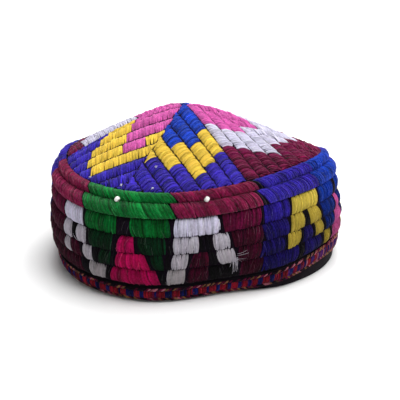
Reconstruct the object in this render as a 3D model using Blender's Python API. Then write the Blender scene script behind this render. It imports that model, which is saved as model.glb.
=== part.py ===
"""Padded skullcap: four ribbed crown panels, a double roll, a ribbed band, a rim braid and a binding.

Metres, +Z up. The origin is under the middle of the cap's box, on the plane that the cap rests on. The
middle of one crown panel faces -Y, and the panel seams lie halfway between the axes. Angles run from -Y
towards +X. The cap is soft, so its rings are a little long one way, and its top dips, tilts and leans.
"""
import math

import bmesh
import bpy
import numpy as np
from mathutils import Matrix

# Clearance and the main outline
GAP = 0.0003                # between neighbouring pieces
EDGE_GAP = 0.0006           # between the crown panels and the roll, whose facets differ
FOOT_RADIUS = 0.0930        # wall's mean outer radius at the foot of the roll
RIM_RADIUS = 0.0924         # wall's mean outer radius at the rim
EDGE_RADIUS = 0.0844        # where the roll ends and the crown panels start
SIDE_SWELL = 0.018          # share by which the panels' middles stand out, and the seams pull in

# How the soft cap stands after it lay folded flat across two panels
FOLD_STRETCH = 0.058        # share by which it is longer along the fold than across it
FOLD_ANGLE = -9             # direction of the fold, in degrees
FOLD_DIP = 0.0068           # how far the top dips at the fold's ends, and rises between them
DIP_ANGLE = 10
TILT = 0.0034               # how far the top is raised on one side and lowered on the other
TILT_ANGLE = 21
LEAN = (-0.0061, 0.0035)    # how far the top leans to the side
SLUMP_HEIGHT = 0.0610       # height at which the dip, the tilt and the lean have these sizes
DENT_DEPTH = 0.0075         # how far the wall is pressed in at the rim, dying out up to the roll
DENT_MIDDLE = 33            # angle of the dent
DENT_REACH = 27             # degrees to each side over which it dies out

# The band of padded rows
ROW_FOOT_HEIGHT = 0.0106    # height of the lowest row's foot, above the braid
BAND_HEIGHT = 0.0359        # from there to the foot of the roll
BELLY = 0.0034              # how far the wall swells out between the rim and the roll
ROW_PAD = 0.0015            # how far a row's padding stands out between its stitched grooves
WALL_CLOTH = 0.0022         # thickness of the wall at a groove
ROW_GROOVES = (             # height: share of BAND_HEIGHT; swell: share of BELLY
    ("height", "swell"),
    (0.000, 0.74),
    (0.242, 1.00),
    (0.479, 0.97),
    (0.724, 0.38),
    (1.000, 0.00),
)

# The double roll on top of the band
ROLL_RISE = 0.0112          # from the roll's foot to the crown panels' edge
ROLL_PAD = 0.0032           # how far each of its two ribs stands out
ROLL_GROOVES = (            # height: share of ROLL_RISE; reach: 0 at FOOT_RADIUS, 1 at EDGE_RADIUS
    ("height", "reach"),
    (0.000, 0.00),
    (0.620, 0.48),
    (1.000, 1.00),
)

# The crown
CROWN_RISE = 0.0348         # from the panels' edge to the peak
PEAK_ROUNDING = 0.0084      # radius over which the peak is rounded off
PEAK_SHIFT = (-0.0104, -0.0047)  # where the peak leans to, from the middle of the rim
CROWN_CLOTH = 0.0026        # thickness of a panel at a groove
CROWN_PAD = 0.0017          # how far a crown rib stands out between its grooves
RIBS_PER_HALF = 7           # ribs on each half of a panel, parallel to its seam
PANEL_VALLEY = 0.0029       # depth of the hollow along the middle of a panel
PUFF = 0.0017               # how far the panels are puffed up halfway to the peak
PUFF_LEAN = 0.0009          # how much more so on one side, and less on the other
PUFF_ANGLE = -127
PUFF_CREASE = 0.0008        # how much more so along one diagonal, and less across it
CREASE_ANGLE = -43
PANELS = (                  # middle: angle of the panel's middle in degrees
    ("name", "middle"),
    ("crown_gore_front", 0),
    ("crown_gore_right", 90),
    ("crown_gore_back", 180),
    ("crown_gore_left", 270),
)
PANEL_SPAN = 360 / (len(PANELS) - 1)

# The rim
BINDING_THICKNESS = 0.0018  # black cloth edge that the cap rests on
BRAID_WIDTH = 0.0080
BRAID_THICKNESS = 0.0016
BRAID_CLEARANCE = 0.0010    # height of the braid's lower edge above the resting plane
RIM_LIFT = 0.0080           # how far the braid and the rows rise on the side where the rim is pulled up
LIFT_MIDDLE = 84.5          # angle of that place
LIFT_REACH = 50             # degrees to each side over which the rise dies out

# The beads sewn into the roll's groove
BEAD_RADIUS = 0.0015
BEADS = (                   # angle in degrees
    ("name", "angle"),
    ("bead_left", 0.5),
    ("bead_right", 28.5),
)

# Fineness of the faceted surfaces
RING_STEPS = 64             # steps round the band, the roll and the rim
RIB_STEPS = 3               # steps across one padded rib
PANEL_STEPS = 6             # steps along a crown rib, from its edge to the panel's middle
BEAD_SIDES = 10
SMOOTH_ANGLE = math.radians(40)

COLOURS = {                 # base colour, roughness
    "crown_gore_front": ((0.045, 0.021, 0.35), 0.75),
    "crown_gore_right": ((0.127, 0.007, 0.026), 0.75),
    "crown_gore_back": ((0.045, 0.021, 0.35), 0.75),
    "crown_gore_left": ((0.127, 0.007, 0.026), 0.75),
    "top_roll": ((0.127, 0.007, 0.026), 0.75),
    "band": ((0.127, 0.007, 0.026), 0.75),
    "rim_binding": ((0.010, 0.006, 0.010), 0.9),
    "rim_braid": ((0.25, 0.03, 0.04), 0.8),
    "bead_left": ((0.8, 0.8, 0.78), 0.3),
    "bead_right": ((0.8, 0.8, 0.78), 0.3),
}

FOOT_HEIGHT = ROW_FOOT_HEIGHT + BAND_HEIGHT
EDGE_HEIGHT = FOOT_HEIGHT + ROLL_RISE
PEAK_HEIGHT = EDGE_HEIGHT + CROWN_RISE


def rows(table):
    """The rows of a table as dictionaries keyed by its named columns."""
    return [dict(zip(table[0], row)) for row in table[1:]]


def outline(angle):
    """Share of the mean radius at an angle in radians: four swells, and a stretch along the fold."""
    swells = SIDE_SWELL * math.cos(4 * angle)
    return 1 + swells + FOLD_STRETCH * math.cos(2 * (angle - math.radians(FOLD_ANGLE)))


def slump(angle, height):
    """Rise of a point of the standing cap: the dip at the fold's ends and the tilt, growing with height."""
    dip = -FOLD_DIP * math.cos(2 * (angle - math.radians(DIP_ANGLE)))
    return (dip + TILT * math.cos(angle - math.radians(TILT_ANGLE))) * height / SLUMP_HEIGHT


def hump(angle, middle, reach):
    """1 at the middle angle, falling as a cosine squared to 0 at reach degrees to each side of it."""
    away = (math.degrees(angle) - middle + 180) % 360 - 180
    return math.cos(min(abs(away) / reach, 1) * math.pi / 2) ** 2


def below_roll(height):
    """1 on the resting plane, falling evenly to 0 at the roll's foot."""
    return min(max(1 - height / FOOT_HEIGHT, 0), 1)


def wall_point(angle, radius, height, lifted=True):
    """Place of a point of the wall or the roll, from its mean radius and its height before the slump."""
    dent = DENT_DEPTH * hump(angle, DENT_MIDDLE, DENT_REACH) * below_roll(height)
    reach = radius * outline(angle) - dent
    lift = RIM_LIFT * hump(angle, LIFT_MIDDLE, LIFT_REACH) * below_roll(height)
    rise = slump(angle, height) + (lift if lifted else 0)
    lean_x, lean_y = (part * height / SLUMP_HEIGHT for part in LEAN)
    return (reach * math.sin(angle) + lean_x, -reach * math.cos(angle) + lean_y, height + rise)


def crown_point(angle, reach, above):
    """Place of a point of the crown, reach being 0 at the peak and 1 at the panels' edge.

    The height falls from the peak as a cone with a rounded tip. The puff adds a parabola in reach, and the
    hollow along each panel's middle takes away a sine in reach times a raised cosine in the angle.
    """
    edge_x, edge_y, edge_z = wall_point(angle, EDGE_RADIUS, EDGE_HEIGHT)
    radius = EDGE_RADIUS * reach
    fall = math.hypot(radius, PEAK_ROUNDING) - PEAK_ROUNDING
    whole = math.hypot(EDGE_RADIUS, PEAK_ROUNDING) - PEAK_ROUNDING
    puff = PUFF + PUFF_LEAN * math.cos(angle - math.radians(PUFF_ANGLE))
    puff += PUFF_CREASE * math.cos(2 * (angle - math.radians(CREASE_ANGLE)))
    panels = 360 / PANEL_SPAN
    hollow = PANEL_VALLEY * math.sin(math.pi * reach) * (1 + math.cos(panels * angle)) / 2
    height = PEAK_HEIGHT + (edge_z - PEAK_HEIGHT) * fall / whole + 4 * puff * reach * (1 - reach) - hollow
    peak_x, peak_y = PEAK_SHIFT
    x = peak_x + (edge_x - peak_x) * reach
    y = peak_y + (edge_y - peak_y) * reach
    return (x, y, height + above)


def padded_chain(grooves, pad):
    """Points (radius, height) down a chain of ribs: between two grooves a rib stands out as a sine arch."""
    points = [np.array(grooves[0])]
    for start, end in zip(grooves[:-1], grooves[1:]):
        start, end = np.array(start), np.array(end)
        along = (end - start) / np.linalg.norm(end - start)
        outward = np.array([along[1], -along[0]])
        for step in range(1, RIB_STEPS + 1):
            share = step / RIB_STEPS
            points.append(start + (end - start) * share + outward * pad * math.sin(math.pi * share))
    return points


def material(name):
    """A plain finish in the piece's own colour."""
    colour, roughness = COLOURS[name]
    finish = bpy.data.materials.new(name)
    finish.use_nodes = True
    shader = finish.node_tree.nodes["Principled BSDF"]
    shader.inputs["Base Color"].default_value = (*colour, 1)
    shader.inputs["Roughness"].default_value = roughness
    shader.inputs["Metallic"].default_value = 0
    return finish


def add_object(name, bm):
    """Makes a closed body from a bmesh, with its faces turned outwards and smooth shading."""
    bmesh.ops.recalc_face_normals(bm, faces=bm.faces)
    mesh = bpy.data.meshes.new(name)
    bm.to_mesh(mesh)
    bm.free()
    mesh.shade_smooth()
    mesh.set_sharp_from_angle(angle=SMOOTH_ANGLE)
    mesh.materials.append(material(name))
    thing = bpy.data.objects.new(name, mesh)
    bpy.context.collection.objects.link(thing)
    return thing


def ring(name, section, rests=False):
    """Carries a closed section of (radius, height) points round the cap's outline.

    Points lower than the roll's foot rise with the lifted rim. Where rests is true, the points at height 0
    stay on the resting plane.
    """
    bm = bmesh.new()
    loops = []
    for step in range(RING_STEPS):
        angle = 2 * math.pi * step / RING_STEPS
        loops.append([bm.verts.new(wall_point(angle, radius, height, lifted=not (rests and height == 0)))
                      for radius, height in section])
    for here, there in zip(loops, loops[1:] + loops[:1]):
        for i in range(len(section)):
            j = (i + 1) % len(section)
            bm.faces.new((here[i], there[i], there[j], here[j]))
    return add_object(name, bm)


def wall_radius(height):
    """Mean outer radius of the wall below the rows, running straight from the rim to the lowest groove."""
    row_foot = RIM_RADIUS + BELLY * rows(ROW_GROOVES)[0]["swell"]
    return RIM_RADIUS + (row_foot - RIM_RADIUS) * height / ROW_FOOT_HEIGHT


def band():
    """The wall: four padded rows outside, and a smooth cloth face inside."""
    grooves = []
    for row in rows(ROW_GROOVES):
        straight = RIM_RADIUS + (FOOT_RADIUS - RIM_RADIUS) * row["height"]
        grooves.append((straight + BELLY * row["swell"], ROW_FOOT_HEIGHT + BAND_HEIGHT * row["height"]))
    grooves[-1] = (grooves[-1][0], FOOT_HEIGHT - GAP / 2)
    inside = [(radius - WALL_CLOTH, height) for radius, height in reversed(grooves)]
    return ring("band", padded_chain(grooves, ROW_PAD) + inside)


def roll_section():
    """The roll's grooves, and its outer points from its foot over both ribs to the crown panels' edge."""
    grooves = []
    for row in rows(ROLL_GROOVES):
        radius = FOOT_RADIUS + (EDGE_RADIUS - FOOT_RADIUS) * row["reach"]
        grooves.append((radius, FOOT_HEIGHT + ROLL_RISE * row["height"]))
    grooves[0] = (FOOT_RADIUS, FOOT_HEIGHT + GAP / 2)
    return grooves, padded_chain(grooves, ROLL_PAD)


def top_roll():
    """The thick double roll, closed inside by a slanted cloth face."""
    grooves, outside = roll_section()
    inside = [(EDGE_RADIUS, EDGE_HEIGHT - CROWN_CLOTH - CROWN_PAD), (FOOT_RADIUS - WALL_CLOTH, grooves[0][1])]
    return ring("top_roll", outside + inside)


def rim_binding():
    """The cloth edge under the wall: upright below the braid, and flat where the cap rests on it."""
    top = ROW_FOOT_HEIGHT - GAP
    outside = [(wall_radius(height) - WALL_CLOTH + BINDING_THICKNESS, height)
               for height in (0, BRAID_CLEARANCE, top)]
    inside = [(radius - BINDING_THICKNESS, height) for radius, height in reversed(outside)]
    return ring("rim_binding", outside + inside, rests=True)


def rim_braid():
    """The flat woven braid round the binding, thinned at its two selvedges."""
    low = BRAID_CLEARANCE
    high = low + BRAID_WIDTH
    selvedge = BRAID_THICKNESS / 2
    section = []
    for height, thickness in (
            (low, 0), (low, selvedge), (low + selvedge, BRAID_THICKNESS),
            (high - selvedge, BRAID_THICKNESS), (high, selvedge), (high, 0)):
        inner = wall_radius(height) - WALL_CLOTH + BINDING_THICKNESS + GAP
        section.append((inner + thickness, height))
    return ring("rim_braid", section)


def crown_gore(name, middle):
    """One quarter of the crown, ribbed as a herringbone.

    Every mesh line runs parallel to the panel's two seams and bends at its middle. Line j lies j rib steps
    away from the seams, and the last one shrinks to a point at the middle of the panel's edge.
    """
    half_span = math.radians(PANEL_SPAN) / 2
    reach_to_edge = EDGE_RADIUS - EDGE_GAP
    line_count = RIBS_PER_HALF * RIB_STEPS
    widest = reach_to_edge * math.sin(half_span)
    shares = np.linspace(-1, 1, 2 * PANEL_STEPS + 1)
    bm = bmesh.new()
    outside = []
    inside = []
    for line in range(line_count):
        away = GAP / 2 + (widest - GAP / 2) * line / line_count
        pad = CROWN_PAD * math.sin(math.pi * (line % RIB_STEPS) / RIB_STEPS)
        start = away / math.sin(half_span)
        ending_angle = half_span - math.asin(away / reach_to_edge)
        inner_x, inner_y = 0.0, start
        outer_x = reach_to_edge * math.sin(ending_angle)
        outer_y = reach_to_edge * math.cos(ending_angle)
        upper = []
        lower = []
        for share in shares:
            x = inner_x + (outer_x - inner_x) * abs(share)
            y = inner_y + (outer_y - inner_y) * abs(share)
            upper.append(gore_point(bm, math.copysign(x, share), y, middle, pad))
            lower.append(gore_point(bm, math.copysign(x, share), y, middle, -CROWN_CLOTH))
        outside.append(upper)
        inside.append(lower)
    tip_upper = gore_point(bm, 0.0, reach_to_edge, middle, 0.0)
    tip_lower = gore_point(bm, 0.0, reach_to_edge, middle, -CROWN_CLOTH)
    for sheet, tip in ((outside, tip_upper), (inside, tip_lower)):
        for here, there in zip(sheet[:-1], sheet[1:]):
            for i in range(len(shares) - 1):
                bm.faces.new((here[i], here[i + 1], there[i + 1], there[i]))
        for i in range(len(shares) - 1):
            bm.faces.new((sheet[-1][i], sheet[-1][i + 1], tip))
    border = [[line[0] for line in outside], [line[0] for line in inside],
              [line[-1] for line in outside], [line[-1] for line in inside]]
    for upper, lower in ((border[0] + [tip_upper], border[1] + [tip_lower]),
                         (border[2] + [tip_upper], border[3] + [tip_lower])):
        for i in range(len(upper) - 1):
            bm.faces.new((upper[i], upper[i + 1], lower[i + 1], lower[i]))
    for i in range(len(shares) - 1):
        bm.faces.new((outside[0][i], outside[0][i + 1], inside[0][i + 1], inside[0][i]))
    return add_object(name, bm)


def gore_point(bm, x, y, middle, above):
    """Adds a vertex x to the side and y outwards of the peak, on the panel whose middle faces that angle."""
    angle = math.atan2(x, y) + math.radians(middle)
    return bm.verts.new(crown_point(angle, math.hypot(x, y) / EDGE_RADIUS, above))


def bead(name, degrees):
    """A round bead, lowered into the roll's groove until its clearance to both ribs is used up."""
    grooves, outside = roll_section()
    groove = np.array(grooves[1])
    chord = np.array(grooves[2]) - np.array(grooves[0])
    outward = np.array([chord[1], -chord[0]]) / np.linalg.norm(chord)
    spacing = np.linspace(0, 1, 9)[:, None]
    skin = np.concatenate([a + (b - a) * spacing for a, b in zip(outside[:-1], outside[1:])])
    distance = BEAD_RADIUS
    while np.linalg.norm(skin - (groove + outward * distance), axis=1).min() < BEAD_RADIUS + GAP:
        distance += GAP / 10
    place = wall_point(math.radians(degrees), *(groove + outward * distance))
    bm = bmesh.new()
    bmesh.ops.create_uvsphere(bm, u_segments=BEAD_SIDES, v_segments=BEAD_SIDES // 2 + 1, radius=BEAD_RADIUS)
    bmesh.ops.translate(bm, verts=bm.verts, vec=place)
    return add_object(name, bm)


def centre_over_origin(things):
    """Moves the meshes so that the middle of the whole cap's box stands over the origin."""
    corners = np.array([vertex.co for thing in things for vertex in thing.data.vertices])
    middle = (corners.min(axis=0) + corners.max(axis=0)) / 2
    for thing in things:
        thing.data.transform(Matrix.Translation((-middle[0], -middle[1], 0)))


def main():
    for old in list(bpy.data.objects):
        bpy.data.objects.remove(old)
    things = [band(), top_roll(), rim_binding(), rim_braid()]
    things += [crown_gore(panel["name"], panel["middle"]) for panel in rows(PANELS)]
    things += [bead(row["name"], row["angle"]) for row in rows(BEADS)]
    centre_over_origin(things)


main()
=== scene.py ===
"""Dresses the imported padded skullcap: black ground cloth, satin-stitched yarn, a woven rim braid and beads.

Metres, in the model's own frame: the rim rests on the floor, one crown panel faces -Y, and angles run from
-Y towards +X. The cap's forms are the same formulas as the model's, worked out here for whole arrays.
"""
import math

import bpy
import numpy as np
from mathutils import Matrix, Vector


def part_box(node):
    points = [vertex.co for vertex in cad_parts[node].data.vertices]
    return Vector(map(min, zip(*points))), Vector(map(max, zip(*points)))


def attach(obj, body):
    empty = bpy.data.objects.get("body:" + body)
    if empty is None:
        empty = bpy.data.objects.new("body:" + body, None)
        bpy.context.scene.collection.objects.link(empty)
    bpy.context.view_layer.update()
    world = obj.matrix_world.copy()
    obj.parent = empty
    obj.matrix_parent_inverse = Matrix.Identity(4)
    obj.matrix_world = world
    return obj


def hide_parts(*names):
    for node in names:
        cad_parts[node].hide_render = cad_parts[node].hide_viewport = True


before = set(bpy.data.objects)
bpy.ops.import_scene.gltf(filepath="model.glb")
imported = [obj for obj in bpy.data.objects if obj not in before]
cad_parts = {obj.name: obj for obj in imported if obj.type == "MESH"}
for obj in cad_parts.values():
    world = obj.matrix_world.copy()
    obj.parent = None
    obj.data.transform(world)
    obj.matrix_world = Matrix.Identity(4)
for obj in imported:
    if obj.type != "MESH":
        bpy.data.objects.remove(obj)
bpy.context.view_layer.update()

# The cap's sizes, as in the model
CENTRE_SHIFT = (0.00224, -0.00136)  # from the middle of the rim to the middle of the whole box
FOOT_RADIUS = 0.0930  # where the band ends and the roll starts
RIM_RADIUS = 0.0924
EDGE_RADIUS = 0.0844  # where the roll ends and the crown starts
SIDE_SWELL = 0.018  # share by which the middles of the sides stand out
FOLD_STRETCH = 0.058  # share by which the cap is longer along its old fold
FOLD_ANGLE = -9
FOLD_DIP = 0.0068  # how far the wall has slumped at the fold's ends
DIP_ANGLE = 10
TILT = 0.0034
TILT_ANGLE = 21
LEAN = (-0.0061, 0.0035)
SLUMP_HEIGHT = 0.0610  # the height at which the slump, tilt and lean are measured
DENT_DEPTH = 0.0075
DENT_MIDDLE = 33
DENT_REACH = 27
ROW_FOOT_HEIGHT = 0.0106
BAND_HEIGHT = 0.0359
BELLY = 0.0034
ROW_GROOVES = ((0.000, 0.74), (0.242, 1.00), (0.479, 0.97), (0.724, 0.38), (1.000, 0.00))
ROLL_RISE = 0.0112
ROLL_GROOVES = ((0.000, 0.00), (0.620, 0.48), (1.000, 1.00))
CROWN_RISE = 0.0348
PEAK_ROUNDING = 0.0084
PEAK_SHIFT = (-0.0104, -0.0047)
RIBS_PER_HALF = 7
PANEL_VALLEY = 0.0029
PUFF = 0.0017
PUFF_LEAN = 0.0009
PUFF_ANGLE = -127
PUFF_CREASE = 0.0008
CREASE_ANGLE = -43
RIM_LIFT = 0.0080  # how far the rim stands off the table on the right
LIFT_MIDDLE = 84.5
LIFT_REACH = 50
WALL_CLOTH = 0.0022
CROWN_CLOTH = 0.0026
BINDING_THICKNESS = 0.0018
BRAID_CLEARANCE = 0.0010
BRAID_WIDTH = 0.0080
FOOT_HEIGHT = ROW_FOOT_HEIGHT + BAND_HEIGHT
EDGE_HEIGHT = FOOT_HEIGHT + ROLL_RISE
PEAK_HEIGHT = EDGE_HEIGHT + CROWN_RISE
SEAM_REACH = EDGE_RADIUS * math.sin(math.pi / 4)  # from a panel's seam to its middle, at the edge
RIB_WIDTH = SEAM_REACH / RIBS_PER_HALF

# The yarn
STRAND_PITCH = 0.00086  # from one stitch of yarn to the next
ROLL_PITCH = 0.00072
STRAND_THICKNESS = 0.00072
ROW_PAD = 0.0015  # how far the stitches stand out over the padding
ROLL_PAD = 0.0033
CROWN_PAD = 0.0016
GROOVE_DIP = 0.0003  # how far a stitch's ends are drawn in between two ribs
CROWN_DIP = 0.0004
ROLL_DIP = -0.0007  # the roll's stitches stay this far out of its groove
STRAND_STEPS = 7  # rings along one stitch
STRAND_SIDES = 6
WALL_OVERLAP = 1.22  # a stitch's width over its pitch
CROWN_OVERLAP = 1.24
WIDTH_SPREAD = 0.14  # how much the widths differ, as a share of the pitch
PAD_SPREAD = 0.05  # how much the pads differ, as a share
SETTLING = 0.00007  # how unevenly the stitches lie
LUMP_HEIGHT = 0.00006
SLANT_SPREAD = 0.0004  # how much the slants of the blocks of colour differ
BLOCK_GAP = 0.0006  # between two blocks of colour on the wall
CROWN_GAP = 0.0005
END_SAG = 0.45  # share by which a block's last stitch lies lower
SAG_REACH = 0.0011
END_DRAW = 0.0007  # how far a block's last stitch is drawn in at its ends
DRAW_REACH = 0.0016
SHORTEST_STITCH = 0.0012
FIRST_STITCH = 0.0034  # from the peak to the first stitch along a seam
CROWN_SLANT = 0.25  # slant of the crown's stitches, as a share of their length
PROBE = 0.0002  # the sideways step that gives a stitch its own directions

# The loose fibres
FUZZ_SHARE = 0.22  # share of the stitches with a loose fibre
FIBRE_THICKNESS = 0.00016
FIBRE_RUN = 0.35  # share of its stitch that a loose fibre follows
FIBRE_DRIFT = 0.0011  # how far it drifts sideways
FIBRE_STAND = (0.0001, 0.00035)  # the least that it stands off its stitch, and how much more it may

# The ground under the stitches
RING_STEPS = 192  # points round the cap
CROWN_RINGS = 40
ROW_FILL = 0.72  # height of the padding, as a share of the stitches' own
ROLL_FILL = 0.8
INNER_PAD = 0.0003
GROUND_LIFT = 0.0003

# Dyes, as display colours from 0 to 255
DYES = {
    "maroon": (98, 11, 54),
    "indigo": (46, 31, 146),
    "blue": (17, 53, 158),
    "green": (1, 81, 33),
    "magenta": (149, 7, 67),
    "pink": (196, 86, 158),
    "yellow": (214, 180, 64),
    "lemon": (186, 164, 66),
    "white": (196, 192, 212),
    # The next two are maroon and green made lighter for the roll and the band's top row: painted light.
    "wine": (112, 16, 57),
    "leaf": (2, 104, 42),
    "moss": (2, 62, 33),
    "black": (22, 12, 26),
    "navy": (18, 24, 92),
    "red": (150, 24, 44),
    "gold": (160, 112, 74),
    "rose": (182, 104, 118),
    "plum": (78, 34, 104),
}
DARK_DYE = 0.6  # a dye is dark when its linear red, green and blue add up to less
STRENGTH_SPREAD = (0.30, 0.11)  # how much the strength of a dark and of a light dye differs
TINT_SPREAD = (0.06, 0.012)
FAINTEST = 0.3  # the least strength of a dye
YELLOWING = np.array([1.0, 1.1, 1.5])  # powers of the painted shade on light dyes, for red, green and blue
DYE_RANGE = (0.0012, 0.95)

rng = np.random.default_rng(11)


# Forms

def turns(count):
    """That many angles, set evenly round a whole turn."""
    return np.linspace(0, 2 * np.pi, count, endpoint=False)


def outline(angle):
    """Share of the mean radius: 1, plus a cosine of four times the angle, plus one of twice the angle."""
    return 1 + SIDE_SWELL * np.cos(4 * angle) + FOLD_STRETCH * np.cos(2 * (angle - math.radians(FOLD_ANGLE)))


def hump(angle, middle, reach):
    """Cosine squared of the distance from the middle angle, 1 there and 0 from reach degrees on."""
    away = (np.degrees(angle) - middle + 180) % 360 - 180
    return np.cos(np.minimum(np.abs(away) / reach, 1) * np.pi / 2) ** 2


def wall_point(angle, radius, height, lifted=1.0):
    """Place on the wall or roll: the radius times the outline, less a dent, with the slump added to the height.

    The slump is a cosine of the angle less one of twice the angle, and grows evenly with the height. The dent
    and the rim's lift are humps that die out evenly from the resting plane to the roll's foot. A point follows
    the lift by the share lifted.
    """
    angle, radius, height = np.broadcast_arrays(angle, radius, height)
    below = np.clip(1 - height / FOOT_HEIGHT, 0, 1)
    reach = radius * outline(angle) - DENT_DEPTH * hump(angle, DENT_MIDDLE, DENT_REACH) * below
    slump = TILT * np.cos(angle - math.radians(TILT_ANGLE))
    slump = slump - FOLD_DIP * np.cos(2 * (angle - math.radians(DIP_ANGLE)))
    share = height / SLUMP_HEIGHT
    rise = slump * share + lifted * RIM_LIFT * hump(angle, LIFT_MIDDLE, LIFT_REACH) * below
    return np.stack([reach * np.sin(angle) + LEAN[0] * share + CENTRE_SHIFT[0],
                     -reach * np.cos(angle) + LEAN[1] * share + CENTRE_SHIFT[1],
                     height + rise], axis=-1)


def crown_point(x, y, middle, above):
    """Place on the crown, x to the side and y outwards of the peak on the panel that faces the middle angle.

    The height falls from the peak as a hyperbola in the reach, plus a parabola for the puff, less a sine in
    the reach times a raised cosine in the angle for the hollow along the panel's middle.
    """
    angle = np.arctan2(x, y) + math.radians(middle)
    reach = np.hypot(x, y) / EDGE_RADIUS
    edge = wall_point(angle, EDGE_RADIUS, EDGE_HEIGHT)
    fall = np.hypot(EDGE_RADIUS * reach, PEAK_ROUNDING) - PEAK_ROUNDING
    whole = math.hypot(EDGE_RADIUS, PEAK_ROUNDING) - PEAK_ROUNDING
    puff = PUFF + PUFF_LEAN * np.cos(angle - math.radians(PUFF_ANGLE))
    puff = puff + PUFF_CREASE * np.cos(2 * (angle - math.radians(CREASE_ANGLE)))
    hollow = PANEL_VALLEY * np.sin(np.pi * reach) * (1 + np.cos(4 * angle)) / 2
    height = PEAK_HEIGHT + (edge[..., 2] - PEAK_HEIGHT) * fall / whole + 4 * puff * reach * (1 - reach) - hollow
    peak = np.array(PEAK_SHIFT) + np.array(CENTRE_SHIFT)
    flat = peak + (edge[..., :2] - peak) * reach[..., None]
    return np.concatenate([flat, (height + above)[..., None]], axis=-1)


def row_knots():
    """Mean radius and height of the grooves between the band's rows, from the rim up."""
    table = np.array(ROW_GROOVES)
    radius = RIM_RADIUS + (FOOT_RADIUS - RIM_RADIUS) * table[:, 0] + BELLY * table[:, 1]
    return np.stack([radius, ROW_FOOT_HEIGHT + BAND_HEIGHT * table[:, 0]], axis=-1)


def roll_knots():
    """Mean radius and height of the roll's foot, of the groove between its two ribs and of its upper edge."""
    table = np.array(ROLL_GROOVES)
    radius = FOOT_RADIUS + (EDGE_RADIUS - FOOT_RADIUS) * table[:, 1]
    return np.stack([radius, FOOT_HEIGHT + ROLL_RISE * table[:, 0]], axis=-1)


def wall_radius(height):
    """Mean outer radius of the wall below the rows, straight from the rim to the lowest groove."""
    row_foot = RIM_RADIUS + BELLY * ROW_GROOVES[0][1]
    return RIM_RADIUS + (row_foot - RIM_RADIUS) * height / ROW_FOOT_HEIGHT


def arch(share, dip, pad):
    """Height over the chord of a rib: a rounded sine arch that stands pad high and starts dip below."""
    return (pad + dip) * np.clip(np.sin(np.pi * share), 0, 1) ** 0.8 - dip


def outward_of(start, end):
    """Direction square to a rib's chord, away from the cap."""
    along = (end - start) / np.linalg.norm(end - start)
    return np.array([along[1], -along[0]])


def arches(knots, pad, steps):
    """Points (radius, height) over all ribs between the knots: along each chord, and out by a low arch."""
    share = np.linspace(0, 1, steps)[:-1]
    ribs = [start + (end - start) * share[:, None] + outward_of(start, end) * arch(share, 0, pad)[:, None]
            for start, end in zip(knots[:-1], knots[1:])]
    return np.concatenate(ribs + [knots[-1:]])


# Meshes

def added(name, data):
    """Puts a mesh, a light or a camera into the scene."""
    thing = bpy.data.objects.new(name, data)
    bpy.context.scene.collection.objects.link(thing)
    return thing


def solid(name, points, faces, finish):
    """Makes a mesh from an array of points and a list of faces, and puts it into the scene."""
    mesh = bpy.data.meshes.new(name)
    mesh.from_pydata(points.reshape(-1, 3).tolist(), [], faces)
    mesh.shade_smooth()
    mesh.materials.append(finish)
    return added(name, mesh)


def new_piece(name, points, faces, finish, nodes):
    """Makes one piece and sets it on the cap's only body."""
    piece = solid(name, points, faces, finish)
    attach(piece, "root")
    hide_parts(*nodes)
    return piece


def grid_faces(rows, columns, wrap_rows=False, wrap_columns=False):
    """Quads between neighbouring rows and columns of a grid of points, numbered row by row."""
    number = np.arange(rows * columns).reshape(rows, columns)
    if wrap_rows:
        number = np.concatenate([number, number[:1]])
    if wrap_columns:
        number = np.concatenate([number, number[:, :1]], axis=1)
    quads = np.stack([number[:-1, :-1], number[:-1, 1:], number[1:, 1:], number[1:, :-1]], axis=-1)
    return quads.reshape(-1, 4)


def ring_piece(name, section, finish, nodes, lifted=1.0):
    """A closed section of (radius, height) points carried round the cap's outline."""
    points = wall_point(turns(RING_STEPS)[:, None], section[None, :, 0], section[None, :, 1], lifted)
    faces = grid_faces(RING_STEPS, len(section), wrap_rows=True, wrap_columns=True)[:, ::-1]
    return new_piece(name, points, faces.tolist(), finish, nodes)


def unit(arrows):
    """The same directions, one metre long."""
    return arrows / np.linalg.norm(arrows, axis=-1, keepdims=True)


def eased():
    """Shares of the way along a stitch, closer together at its ends: one less a cosine, halved."""
    return (1 - np.cos(np.linspace(0, np.pi, STRAND_STEPS)))[None] / 2


def fullness(steps):
    """How full a stitch is along its way: most of half a turn of a sine, flattened by a power."""
    return np.sin(np.pi * (np.linspace(0, 1, steps) * 0.86 + 0.07)) ** 0.4


def tubes(middle, side, outward, along, width, thickness):
    """Closed tubes of yarn: points (tube, ring, side, coordinate), faces, and the width's place at each point.

    A tube's section is an ellipse, as wide as the yarn lies and as high as it is thick, carried along the
    middle line. It narrows and thins at both ends with the stitch's fullness.
    """
    count, steps = middle.shape[:2]
    full = fullness(steps)
    turn = np.radians(np.arange(STRAND_SIDES) * 360 / STRAND_SIDES - 90)
    wide = (width[:, None] * (0.35 + 0.65 * full))[..., None] / 2 * np.cos(turn)
    high = (thickness[:, None] * (0.4 + 0.6 * full))[..., None] / 2 * np.sin(turn)
    points = middle[:, :, None] + side[:, :, None] * wide[..., None] + outward[:, :, None] * high[..., None]
    starts = np.arange(count)[:, None, None] * steps * STRAND_SIDES
    quads = grid_faces(steps, STRAND_SIDES, wrap_columns=True)[None] + starts
    first = np.arange(STRAND_SIDES)[None] + starts[:, 0]
    last = first + (steps - 1) * STRAND_SIDES
    handed = np.sum(np.cross(outward, side) * along, axis=-1)[:, steps // 2] > 0
    quads = np.where(handed[:, None, None], quads[..., ::-1], quads).reshape(-1, 4)
    first = np.where(handed[:, None], first, first[:, ::-1])
    last = np.where(handed[:, None], last[:, ::-1], last)
    return points, quads, np.concatenate([first, last]), wide


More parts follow.
